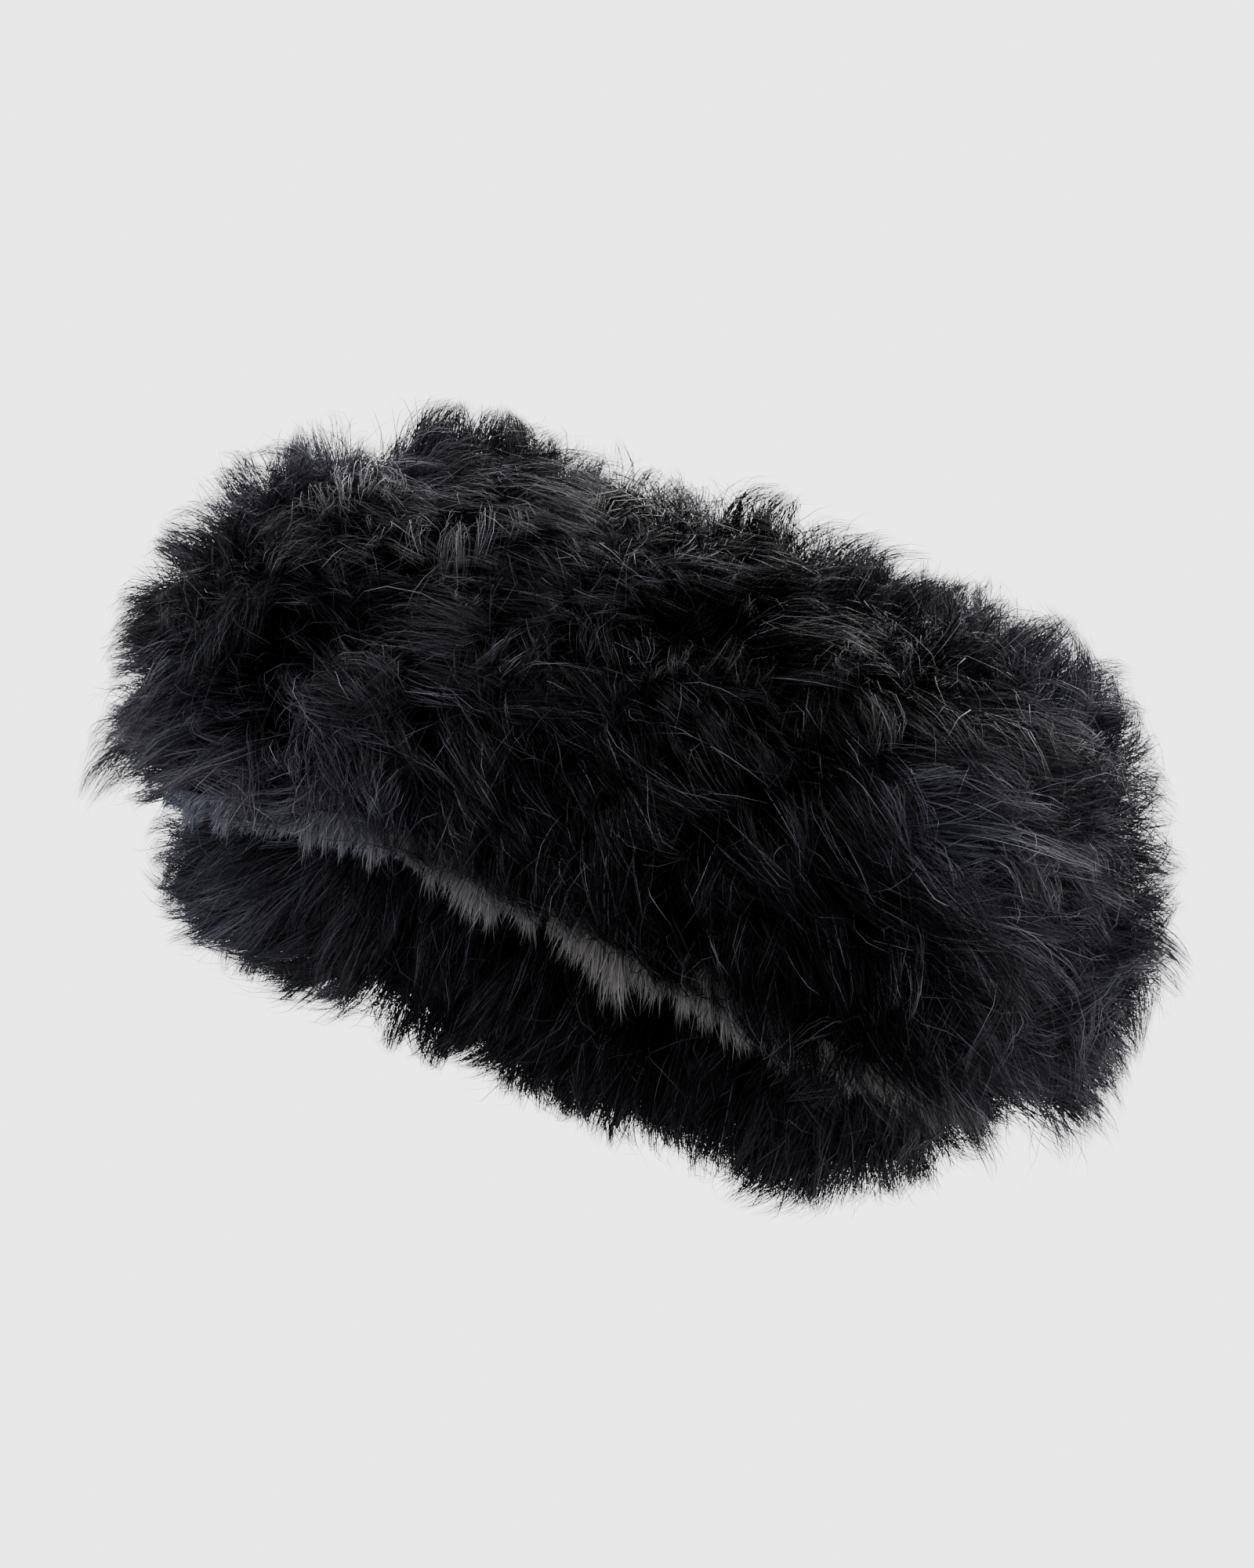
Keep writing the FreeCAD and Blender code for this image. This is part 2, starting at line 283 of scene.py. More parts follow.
def patterned(name, group, settings, dark, light, roughness, sheen=0.0):
    """A matt material coloured between two shades by a node group's mask."""
    material = bpy.data.materials.new(name)
    material.use_nodes = True
    nodes, links = material.node_tree.nodes, material.node_tree.links
    shader = nodes["Principled BSDF"]
    shader.inputs["Roughness"].default_value = roughness
    shader.inputs["Specular IOR Level"].default_value = 0.2
    shader.inputs["Sheen Weight"].default_value = sheen
    pattern = nodes.new("ShaderNodeGroup")
    pattern.node_tree = group
    for label, value in settings.items():
        pattern.inputs[label].default_value = value
    colour = nodes.new("ShaderNodeMix")
    colour.data_type = "RGBA"
    colour.inputs["A"].default_value = (*dark, 1)
    colour.inputs["B"].default_value = (*light, 1)
    links.new(pattern.outputs["Mask"], colour.inputs["Factor"])
    links.new(colour.outputs["Result"], shader.inputs["Base Color"])
    links.new(pattern.outputs["Normal"], shader.inputs["Normal"])
    return material


# Darker in the pores: painted shade in the dents of the cells.
CHARCOAL_FOAM = patterned("charcoal_foam", cell_group(), {"Scale": 900, "Depth": 0.8},
                          (0.006, 0.006, 0.007), (0.030, 0.030, 0.033), 0.9)
HEM_HEIGHT = 0.004
EASE = 0.0003             # air left between one layer and the next
foam = {}
for half, body in BODIES.items():
    grid = half_grid(half, PILE, *CLOTH_GRID, LIP_GAP + HEM_HEIGHT + EASE)
    dents = 0.0003 * ripple(grid, 0.018, 41)[..., 0]
    outer, _ = lay_on(half, grid, PILE + 2 * EASE + np.abs(dents))
    inner, _ = lay_on(half, grid, PILE + FOAM - EASE + dents * 0.5)
    foam[half] = closed_sheet(f"{half}_foam", outer, inner, CHARCOAL_FOAM)
    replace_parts(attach(foam[half], body), f"{half}_foam_liner")

# ==== Mesh lining ==================================================================
# Thin black tricot mesh glued inside the foam, so a microphone slides in without
# catching on it. Held smooth by the foam, with a few slack ripples.
def weave_group():
    """Node group: over-and-under threads along and across the cloth at given counts per
    metre, as a mask from 0 in the gaps to 1 on the threads, the dark gaps being painted
    shade between the threads, and the normal over them."""
    group = bpy.data.node_groups.new("cross_weave", "ShaderNodeTree")
    for label in ("Along", "Across", "Depth"):
        group.interface.new_socket(label, in_out="INPUT", socket_type="NodeSocketFloat")
    group.interface.new_socket("Mask", in_out="OUTPUT", socket_type="NodeSocketFloat")
    group.interface.new_socket("Normal", in_out="OUTPUT", socket_type="NodeSocketVector")
    nodes, links = group.nodes, group.links
    given, result = nodes.new("NodeGroupInput"), nodes.new("NodeGroupOutput")
    place = nodes.new("ShaderNodeAttribute")
    place.attribute_name = "cloth"
    parts = nodes.new("ShaderNodeSeparateXYZ")
    links.new(place.outputs["Vector"], parts.inputs[0])

    def step(kind, first, second=None):
        node = nodes.new("ShaderNodeMath")
        node.operation = kind
        for socket, value in zip(node.inputs, (first, second)):
            if isinstance(value, (int, float)):
                socket.default_value = value
            elif value is not None:
                links.new(value, socket)
        return node.outputs[0]

    waves = []
    for axis, count in (("X", "Along"), ("Y", "Across")):
        turns = step("MULTIPLY", parts.outputs[axis], given.outputs[count])
        waves.append(step("SINE", step("MULTIPLY", turns, math.pi)))
    mask = step("MULTIPLY", step("ABSOLUTE", waves[0]), step("ABSOLUTE", waves[1]))
    bump = nodes.new("ShaderNodeBump")
    bump.inputs["Distance"].default_value = 0.0003
    links.new(given.outputs["Depth"], bump.inputs["Strength"])
    links.new(mask, bump.inputs["Height"])
    links.new(mask, result.inputs["Mask"])
    links.new(bump.outputs["Normal"], result.inputs["Normal"])
    return group


WEAVE = weave_group()
# Dark in the gaps: the mesh's real holes, with painted shade in them.
BLACK_MESH = patterned("black_mesh", WEAVE, {"Along": 900, "Across": 900, "Depth": 0.7},
                       (0.004, 0.004, 0.004), (0.035, 0.034, 0.036), 0.7, 0.2)
lining = {}
for half, body in BODIES.items():
    inset = PILE + FOAM + LINING / 2
    grid = half_grid(half, inset, *CLOTH_GRID, LIP_GAP + HEM_HEIGHT + EASE)
    slack = 0.00022 * ripple(grid, 0.024, 42)[..., 0]
    middle, _ = lay_on(half, grid, inset + np.abs(slack))
    lining[half] = thicken(f"{half}_mesh_lining", middle, LINING - 2 * EASE, BLACK_MESH)
    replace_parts(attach(lining[half], body), f"{half}_lining")
    flat, area = cut_size(grid)

# ==== Hem elastic and binding ======================================================
# Round the mouth the raw edges of pile fabric, foam and mesh are wrapped together in a
# folded grey tape, with a braided elastic inside the fold that pulls the mouth shut.
GREY_TAPE = patterned("grey_tape", WEAVE, {"Along": 1500, "Across": 1500, "Depth": 0.6},
                      (0.045, 0.044, 0.046), (0.16, 0.155, 0.155), 0.85, 0.3)
ELASTIC = patterned("braided_elastic", WEAVE, {"Along": 700, "Across": 2200, "Depth": 0.8},
                    (0.02, 0.02, 0.02), (0.11, 0.11, 0.11), 0.8)
TAPE = 0.0006
ELASTIC_INSET = 0.028
HEM_BACK_Y = 0.0355
binding = {}
for half, body in BODIES.items():
    up = 1 if half == "upper" else -1
    path, outward, s = lip_path(half, PILE, HEM_BACK_Y, 320)
    insets = np.array([0.0004, 0.0004, 0.0004, 0.0010, 0.0046, 0.0082, 0.0088, 0.0088, 0.0088])
    rises = np.array([HEM_HEIGHT, 0.0025, 0.0012, 0.0005, 0.0004, 0.0005, 0.0012, 0.0025,
                      HEM_HEIGHT])
    middle = path[:, None] - outward[:, None] * insets[None, :, None]
    middle[..., 2] = lip_height(middle[..., 0], middle[..., 1])
    middle[..., 2] += up * (LIP_GAP + rises) + up * 0.0001 * np.sin(s * 900)[:, None]
    binding[half] = thicken(f"{half}_binding_tape", middle, TAPE, GREY_TAPE)
    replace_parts(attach(binding[half], body), f"{half}_hem_binding")
    flat, area = cut_size(middle)

    path, outward, s = lip_path(half, ELASTIC_INSET, HEM_BACK_Y, 260)
    around_band = np.linspace(0, math.tau, 9)[:-1]
    ring_out = 0.0011 * np.cos(around_band) * (1 + 0.15 * np.cos(2 * around_band))
    ring_up = HEM_HEIGHT / 2 + LIP_GAP + 0.00095 * np.sin(around_band)
    band = path[:, None] + outward[:, None] * ring_out[None, :, None]
    band[..., 2] += up * ring_up + 0.00006 * np.sin(s * 2600)[:, None]
    n, m = band.shape[:2]
    index = np.arange(n * m).reshape(n, m)
    nearer = np.roll(index, -1, 1)
    quads = np.stack([index[:-1], index[1:], nearer[1:], nearer[:-1]], -1).reshape(-1, 4)
    ends = np.concatenate([index[0], index[-1][::-1]])
    if up < 0:
        quads, ends = quads[:, ::-1], ends[::-1]
    starts = np.concatenate([np.arange(len(quads)) * 4, len(quads) * 4 + np.array([0, m])])
    piece = add_mesh(f"{half}_elastic", band.reshape(-1, 3), np.concatenate([quads.ravel(), ends]),
                     starts, ELASTIC)
    place = np.stack(np.broadcast_arrays(s[:, None], 0.001 * around_band, 0), -1)
    mark_cloth(piece, place)
    piece.data.shade_smooth()
    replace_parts(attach(piece, body), f"{half}_hem_elastic")

# ==== Stitching ====================================================================
# Lockstitch in waxed black thread: a run through the binding on the inside of each
# hem, and one along the top of the back seam. Each stitch is a bowed, twisted thread.
THREAD = bpy.data.materials.new("black_thread")
THREAD.use_nodes = True
shader = THREAD.node_tree.nodes["Principled BSDF"]
shader.inputs["Base Color"].default_value = (0.012, 0.012, 0.013, 1)
shader.inputs["Roughness"].default_value = 0.4
STITCH = 0.0046
THREAD_RADIUS = 0.00032
SEAM_PITCH = 0.009


def stitches(name, middles, along, outward, bow):
    """Bowed threads with six sides, one centred at each point: a half sine bow outwards,
    thinning to the ends where the thread dives into the cloth."""
    t = np.linspace(-0.5, 0.5, 7)
    up = np.cross(outward, along)
    rise = bow * np.cos(math.pi * t)
    centre = (middles[:, None] + along[:, None] * (STITCH * t)[None, :, None]
              + outward[:, None] * rise[None, :, None])
    radius = THREAD_RADIUS * (0.35 + 0.65 * np.cos(math.pi * t) ** 0.5)
    angle = np.linspace(0, math.tau, 7)[:-1][None] + 1.2 * t[:, None]
    ring = (np.cos(angle)[None, ..., None] * outward[:, None, None]
            + np.sin(angle)[None, ..., None] * up[:, None, None])
    points = centre[:, :, None] + radius[None, :, None, None] * ring
    count, n, m = points.shape[:3]
    index = np.arange(n * m).reshape(n, m)
    nearer = np.roll(index, -1, 1)
    quads = np.stack([index[:-1], nearer[:-1], nearer[1:], index[1:]], -1).reshape(-1)
    pattern = np.concatenate([quads, index[0][::-1], index[-1]])
    shift = n * m * np.arange(count)[:, None]
    first = np.concatenate([np.arange(len(quads) // 4) * 4, len(quads) + np.array([0, m])])
    starts = (first[None] + len(pattern) * np.arange(count)[:, None]).ravel()
    piece = add_mesh(name, points.reshape(-1, 3), (pattern[None] + shift).ravel(), starts, THREAD)
    piece.data.shade_smooth()
    return piece


for half, body in BODIES.items():
    up = 1 if half == "upper" else -1
    inside = PILE + FOAM + LINING + 0.0003
    path, outward, s = lip_path(half, inside, HEM_BACK_Y - 0.010, 41 if half == "upper" else 31)
    path[:, 2] += up * (LIP_GAP + HEM_HEIGHT / 2)
    tangent = unit(np.gradient(path, axis=0))
    piece = stitches(f"{half}_hem_thread", path, tangent, -outward, 0.0005)
    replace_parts(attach(piece, body), f"{half}_hem_stitching")

roll_low, roll_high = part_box("back_seam_roll")
ROLL_RADIUS = (roll_high.z - roll_low.z) / 2
x = np.arange(-8, 8) * SEAM_PITCH + SEAM_PITCH / 2
line = np.stack([x, np.full(len(x), HINGE.y),
                 np.full(len(x), HINGE.z + ROLL_RADIUS + 0.0001)], -1)
piece = stitches("back_seam_thread", line, np.tile([1.0, 0, 0], (len(x), 1)),
                 np.tile([0, 0, 1.0], (len(x), 1)), 0.0004)
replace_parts(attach(piece, "lower_half"), "back_seam_stitching")

# ==== Back seam ====================================================================
# The seam allowances of both halves rolled together and sewn down: a soft round welt
# that the upper half turns on.
BACKING = patterned("knitted_backing", WEAVE, {"Along": 1100, "Across": 1100, "Depth": 0.8},
                    (0.004, 0.004, 0.0045), (0.022, 0.022, 0.024), 0.9, 0.2)
x = np.linspace(roll_low.x, roll_high.x, 160)[:, None]
angle = np.linspace(0, math.tau, 33)[None, :-1]
wrap = np.mod(angle / math.tau + 6 * (x - roll_low.x), 1.0)      # the free edge of the roll
radius = ROLL_RADIUS * (0.985 - 0.09 * np.exp(-wrap / 0.05) + 0.012 * np.sin(x * 700))
radius = radius * np.minimum(1, 0.75 + 40 * np.minimum(x - roll_low.x, roll_high.x - x))
y = HINGE.y + radius * np.cos(angle)
z = HINGE.z + radius * np.sin(angle)
roll = np.stack(np.broadcast_arrays(x, y, z), -1)
n, m = roll.shape[:2]
index = np.arange(n * m).reshape(n, m)
nearer = np.roll(index, -1, 1)
quads = np.stack([index[:-1], index[1:], nearer[1:], nearer[:-1]], -1)[..., ::-1].reshape(-1)
starts = np.concatenate([np.arange(len(quads) // 4) * 4, len(quads) + np.array([0, m])])
roll_piece = add_mesh("back_seam_welt", roll.reshape(-1, 3),
                      np.concatenate([quads, index[0][::-1], index[-1]]), starts, BACKING)
mark_cloth(roll_piece, np.stack(np.broadcast_arrays(x, ROLL_RADIUS * angle, 0), -1))
roll_piece.data.shade_smooth()
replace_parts(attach(roll_piece, "lower_half"), "back_seam_roll")

# ==== Mouth gussets ================================================================
# A strip of stretch knit at each end of the mouth, folded in three pleats while the
# mouth is shut. Its foot is sewn to the lower half and its head to the upper; here it
# is one piece, shaped as with the mouth shut, and moves with neither half.
STRETCH_KNIT = patterned("stretch_knit", WEAVE, {"Along": 800, "Across": 1600, "Depth": 0.9},
                         (0.006, 0.006, 0.007), (0.040, 0.040, 0.044), 0.8, 0.3)
for side, sign in (("left", -1), ("right", 1)):
    low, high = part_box(f"{side}_mouth_gusset")
    inset = UPPER_RADIUS - (max(abs(low.x), abs(high.x)) - UPPER_STRAIGHT) + 0.0006
    radius = UPPER_RADIUS - inset
    first = math.asin((min(abs(low.x), abs(high.x)) + 0.001 - UPPER_STRAIGHT) / radius)
    last = math.acos(-(high.y - 0.001) / radius)
    turn = np.linspace(first, last, 90)[:, None]
    climb = np.linspace(0, 1, 31)[None]
    zigzag = 2 * np.abs(2 * np.mod(climb * 3, 1) - 1) - 1
    pleat = 0.0007 * zigzag * (0.7 + 0.3 * np.sin(turn * 9))
    x = sign * (UPPER_STRAIGHT + (radius + pleat) * np.sin(turn))
    y = -(radius + pleat) * np.cos(turn)
    height = 0.0135 - 0.0006 * np.sin(turn * 14) ** 2
    z = lip_height(x, y) + 0.0006 + climb * height
    middle = np.stack(np.broadcast_arrays(x, y, z), -1)
    piece = thicken(f"{side}_gusset", middle, 0.0005, STRETCH_KNIT)
    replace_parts(piece, f"{side}_mouth_gusset")
    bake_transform(piece)
    flat, area = cut_size(middle)

# ==== Label ========================================================================
# A blank satin tag sewn flat to the lining behind the opening.
SATIN = patterned("black_satin", WEAVE, {"Along": 3000, "Across": 500, "Depth": 0.3},
                  (0.05, 0.05, 0.052), (0.075, 0.075, 0.078), 0.35)
low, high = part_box("blank_label")
x = np.linspace(low.x + 0.0003, high.x - 0.0003, 40)[:, None]
z = np.linspace(low.z + 0.0003, high.z - 0.0003, 16)[None]
y = (low.y + high.y) / 2 + 0.00012 * np.sin(x * 500) * np.cos(z * 400)
middle = np.stack(np.broadcast_arrays(x, y, z), -1)
label = thicken("satin_tag", middle, 0.0003, SATIN)
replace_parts(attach(label, "lower_half"), "blank_label")
cut_size(middle)[1]

# ==== Long pile ====================================================================
# Jet-black acrylic pile, knitted into its backing in tufts: about 35 mm long on the
# upper half and 25 mm on the lower. Hairs
# lean together into locks and locks into tufts, so the coat breaks into spikes, and a
# few loose guard hairs stand off on their own. Brushing has left it lying to the right
# along the top left, to the left at the bottom left, and down over the mouth.
UNDERFUR = {"upper": 0.0155, "lower": 0.013}      # depth of the matted underfur below the tips: a black block there stands in for the shade deep in the coat
HAIR_WIDTH = 0.00023
HAIR_STEPS = {"upper": 5, "lower": 4}
LIP_BAND = 0.010          # how far from the mouth the pile is still kept short
LOWER_HIGHLIGHT = 0.8          # the lower half catches less light: its painted highlight is scaled down
TIP_REACH = {"upper": 0.016, "lower": 0.022}      # the furthest that tips stand out past that
END_REACH = 0.003                                 # and how much further at the two ends


def tuck(half, p):
    """How far the upper half draws in under its rounded ends: the inset of a quarter
    circle of radius SKIRT that starts level with the lowest point of the lip."""
    if half == "lower":
        return np.zeros(p.shape[:-1])
    rise = np.clip(SKIRT - (p[..., 2] - SKIRT_Z), 0, SKIRT * 0.98)
    return SKIRT - np.sqrt(SKIRT ** 2 - rise ** 2)


def pile_material(name, root, tip, shine, roughness, lit):
    """Hair colour: near black at the root, a little lighter to the tip, the darker root
    being painted shade deep in the coat, and lighter again towards the lit colour by each
    hair's tone and painted highlight; slow patches drift from bluish to brownish."""
    material = bpy.data.materials.new(name)
    material.use_nodes = True
    nodes, links = material.node_tree.nodes, material.node_tree.links
    shader = nodes["Principled BSDF"]
    shader.inputs["Roughness"].default_value = roughness
    shader.inputs["Specular IOR Level"].default_value = shine
    along = nodes.new("ShaderNodeAttribute")
    along.attribute_name = "along"
    tone_and_highlight = nodes.new("ShaderNodeAttribute")
    tone_and_highlight.attribute_name = "tone_and_highlight"
    body = nodes.new("ShaderNodeMix")
    body.data_type = "RGBA"
    body.inputs["A"].default_value = (*root, 1)
    body.inputs["B"].default_value = (*tip, 1)
    links.new(along.outputs["Fac"], body.inputs["Factor"])
    place = nodes.new("ShaderNodeTexCoord")
    drift = nodes.new("ShaderNodeTexNoise")
    drift.inputs["Scale"].default_value = 14
    links.new(place.outputs["Object"], drift.inputs["Vector"])
    tint = nodes.new("ShaderNodeMix")
    tint.data_type = "RGBA"
    tint.inputs["A"].default_value = (lit[0] * 0.9, lit[1] * 0.95, lit[2] * 1.12, 1)
    tint.inputs["B"].default_value = (lit[0] * 1.08, lit[1], lit[2] * 0.9, 1)
    links.new(drift.outputs["Fac"], tint.inputs["Factor"])
    whole = nodes.new("ShaderNodeMix")
    whole.data_type = "RGBA"
    links.new(tone_and_highlight.outputs["Fac"], whole.inputs["Factor"])
    links.new(body.outputs["Result"], whole.inputs["A"])
    links.new(tint.outputs["Result"], whole.inputs["B"])
    links.new(whole.outputs["Result"], shader.inputs["Base Color"])
    return material


BLACK_PILE = pile_material("black_pile", (0.0010, 0.0010, 0.0014), (0.0044, 0.0042, 0.0056),
                           0.06, 0.42, (0.26, 0.253, 0.285))

# Brush strokes left in the pile: centre, reach, the way the hair lies, how firmly,
# how much longer the hair is and how much painted highlight it adds (taken away where
# negative) where it catches the light. Metres.
STROKES = (
    ((-0.074, -0.016, 0.137), 0.030, (1.0, -0.25, 0.05), 2.2, 0.10, 0.40),
    ((-0.108, 0.000, 0.130), 0.024, (0.4, -0.10, 0.40), 0.8, -0.15, 0.36),
    ((-0.095, 0.030, 0.143), 0.026, (0.0, 0.20, 0.40), 0.2, -0.05, 0.30),
    ((-0.135, -0.010, 0.085), 0.034, (0.0, 0.00, 0.00), 0.0, -0.44, 0.20),
    ((0.088, -0.052, 0.112), 0.014, (0.9, 0.10, 0.50), 2.2, 0.05, 1.10),
    ((0.102, -0.052, 0.098), 0.011, (1.0, 0.00, 0.15), 2.2, 0.05, 0.80),
    ((-0.060, -0.074, 0.063), 0.022, (-1.0, -0.10, -0.30), 1.6, 0.00, 1.05),
    ((-0.112, -0.045, 0.056), 0.022, (-1.0, -0.30, -0.25), 1.4, -0.10, 0.80),
    ((0.108, -0.056, 0.046), 0.026, (0.6, -0.20, -0.60), 0.9, 0.10, 0.60),
    ((0.010, -0.078, 0.084), 0.050, (0.2, -0.10, -1.00), 0.9, 0.05, 0.03),
    ((0.130, 0.000, 0.100), 0.032, (0.1, 0.00, 0.20), 0.6, -0.10, 0.40),
    ((0.134, -0.020, 0.062), 0.030, (0.3, 0.00, -0.30), 0.3, 0.00, 0.20),
    ((0.080, -0.070, 0.086), 0.020, (0.7, -0.20, -0.50), 0.8, 0.00, -0.90),
    ((-0.115, -0.020, 0.030), 0.028, (-1.0, -0.30, -0.10), 1.6, 0.40, 0.90),
    ((-0.072, -0.045, 0.014), 0.022, (-0.8, -0.40, -0.10), 1.6, 0.60, 0.45),
    ((-0.074, -0.062, 0.100), 0.026, (0.6, -0.60, -0.10), 0.8, 0.05, -0.22),
    ((0.020, -0.050, 0.125), 0.030, (0.8, -0.50, 0.10), 0.7, 0.00, -0.06),
    ((0.044, -0.034, 0.137), 0.022, (1.0, -0.40, 0.00), 1.2, 0.00, -0.80),
    ((0.052, -0.064, 0.104), 0.030, (0.5, -0.50, -0.10), 0.6, 0.00, -0.40),
    ((-0.078, 0.006, 0.145), 0.006, (0.3, 0.00, 0.90), 1.0, 0.15, 0.10),
    ((-0.050, 0.008, 0.147), 0.006, (-0.2, 0.00, 0.90), 1.0, 0.15, 0.10),
    ((-0.064, 0.008, 0.148), 0.006, (0.0, 0.40, 0.00), 1.0, -0.50, 0.00),
    ((-0.038, 0.011, 0.147), 0.010, (0.9, 0.00, 0.00), 1.2, -0.20, 0.00),
    ((-0.020, 0.012, 0.147), 0.008, (0.3, 0.00, 0.60), 0.8, 0.40, 0.05),
    ((-0.006, 0.012, 0.146), 0.005, (0.8, 0.00, 0.00), 1.0, -0.25, 0.00),
    ((0.012, 0.012, 0.147), 0.011, (0.5, 0.00, 0.60), 0.8, 0.50, 0.05),
    ((0.060, 0.010, 0.143), 0.018, (0.2, 0.00, 0.00), 0.6, -0.55, 0.95),
    ((0.098, 0.012, 0.137), 0.014, (0.5, 0.00, 0.60), 0.8, 0.05, 0.60),
)


# Big locks that stand up along the ridge: centre, the way they point and their reach.
FORELOCKS = (
    ((-0.078, 0.004, 0.136), (0.35, 0.00, 0.80), 0.008),
    ((-0.050, 0.006, 0.136), (-0.20, 0.00, 0.80), 0.007),
    ((-0.020, 0.006, 0.136), (-0.10, 0.00, 0.70), 0.006),
    ((0.016, 0.004, 0.136), (0.20, -0.10, 0.50), 0.009),
    ((0.088, 0.002, 0.128), (0.20, 0.00, 0.50), 0.008),
    ((0.104, 0.004, 0.118), (0.40, 0.00, 0.40), 0.008),
    ((-0.106, 0.004, 0.124), (-0.20, 0.00, 0.50), 0.008),
)


def brushed(half, p, outward):
    """How the pile lies at each point: its lean along the surface, its length, and its
    tone with the strokes' painted highlight.
    Each stroke fades with distance as a bell curve; ripples add the unbrushed wander.
    By the mouth the pile is shorter, and leans down over it more to the right; along
    the ridge and the two ends it stands up more. The lower half's pile by the back seam
    is short and lies down, so that the mouth can open."""
    lean = 0.60 * ripple(p, 0.110, 3) + 0.42 * ripple(p, 0.046, 4)
    length = 1 + 0.10 * ripple(p, 0.030, 5)[:, 0]
    tone_and_highlight = 0.08 * np.maximum(ripple(p, 0.030, 6)[:, 0] - 0.4, 0)
    for centre, reach, way, firmness, longer, highlight in STROKES:
        bell = np.exp(-((p - np.array(centre)) ** 2).sum(1) / (2 * reach ** 2))
        lean += bell[:, None] * (firmness * np.array(way) - 0.7 * lean)
        length += bell * longer
        # Each stroke paints highlight into the tone where its brushed hair catches the light.
        tone_and_highlight += bell * highlight
    near_lip = np.exp(-np.abs(p[:, 2] - lip_height(p[:, 0], p[:, 1])) / LIP_BAND)
    if half == "upper":
        held = np.clip(0.85 - 6 * p[:, 0], 0.2, 0.85)
        lean[:, 2] = np.where(lean[:, 2] < 0, lean[:, 2] * (1 - held * near_lip), lean[:, 2])
        length *= 1 - 0.3 * held * near_lip
    else:
        by_seam = np.clip(p[:, 1] / 0.02, 0, 1) * np.clip((p[:, 2] - 0.010) / 0.025, 0, 1)
        lean[:, 2] -= 0.7 + 2.5 * by_seam
        length *= (1 - 0.35 * near_lip) * (1 - 0.6 * by_seam)
    lean *= 1 - 0.55 * np.exp(-((p[:, 1:2] - 0.012) / 0.020) ** 2)
    lean -= (lean * outward).sum(1)[:, None] * outward
    return lean, np.clip(length, 0.4, 1.6), tone_and_highlight


def scatter(half, count, inset, rng):
    """Evenly scattered points on a half's surface: random points in the box round it,
    of which those within half a millimetre of the surface and outside the mouth stay."""
    low, high = np.array(cad_low), np.array(cad_high)
    skeleton, radius = HALVES[half]
    kept = np.zeros((0, 3))
    while len(kept) < count:
        p = rng.uniform(low, high, (400000, 3))
        away = np.abs(np.linalg.norm(p - skeleton(p), axis=1) - (radius - inset))
        above = p[:, 2] - lip_height(p[:, 0], p[:, 1])
        outside = above > 0.001 if half == "upper" else above < -0.001
        kept = np.concatenate([kept, p[(away < 0.0005) & outside]])
    kept = kept[:count]
    return lay_on(half, kept, inset + tuck(half, kept))


def around(half, centres, owner, spread, inset, rng):
    """Points scattered about their owners' centres, then laid back on the surface."""
    p = centres[owner] + rng.normal(0, spread, (len(owner), 3))
    above = p[:, 2] - lip_height(p[:, 0], p[:, 1])
    clear = np.maximum(above, 0.0005) if half == "upper" else np.minimum(above, -0.0005)
    p[:, 2] += clear - above
    return lay_on(half, p, inset + tuck(half, p))


def paths(root, first, last, length, steps):
    """Curves that leave along first and bend evenly to last: the integral of a direction
    blending linearly from one to the other."""
    t = np.linspace(0, 1, steps + 1)[None, :, None]
    return root[:, None] + length[:, None, None] * (
        (t - t * t / 2) * first[:, None] + (t * t / 2) * last[:, None])


def lean_paths(half, root, outward, length, whim, lie, steps):
    """Curves that stand off the surface, then curl over the way the pile is brushed.
    Whim is each curve's own sideways will, and lie how far it gives way to the brush."""
    lean, longer, tone_and_highlight = brushed(half, root, outward)
    lean *= lie[:, None]
    first = unit(outward + 0.75 * (lean + whim))
    last = unit(0.18 * outward + lean + whim + np.array([0.0, 0.0, -0.12]))
    return paths(root, first, last, length * longer, steps), tone_and_highlight


def waving(curve, size, turns, rng):
    """Curves with a random sideways wave added that grows from nothing at the root."""
    count, points, _ = curve.shape
    t = np.linspace(0, 1, points)[None, :, None]
    angle = rng.uniform(*turns, count)[:, None, None] * math.tau * t
    phase = rng.uniform(0, math.tau, (count, 1, 3))
    return curve + size[:, None, None] * t * (np.sin(angle + phase) - np.sin(phase) * (1 - t))


def over_lip(curve, overhang):
    """Heights that never fall further than the overhang below the mouth: the drop below
    the lip is squeezed as a decaying exponential, so hairs bend under instead."""
    lip = lip_height(curve[..., 0], curve[..., 1])
    drop = np.maximum(lip - curve[..., 2], 0)
    return np.where(drop > 0, lip - overhang * (1 - np.exp(-drop / overhang)), curve[..., 2])


def within_reach(half, curve, room):
    """Curves whose distance past the pile's usual height is squeezed, as a decaying
    exponential, to stay under TIP_REACH, or up to END_REACH more towards the ends, times
    the share of that room that each hair is given."""
    skeleton, radius = HALVES[half]
    core = skeleton(curve)
    away = curve - core
    far = np.linalg.norm(away, axis=-1, keepdims=True)
    over = np.maximum(far - radius, 0)
    reach = room * (TIP_REACH[half] + END_REACH * np.abs(away[..., :1]) / np.maximum(far, 1e-9))
    short = np.minimum(far, radius) + reach * (1 - np.exp(-over / reach))
    return core + away * short / np.maximum(far, 1e-9)


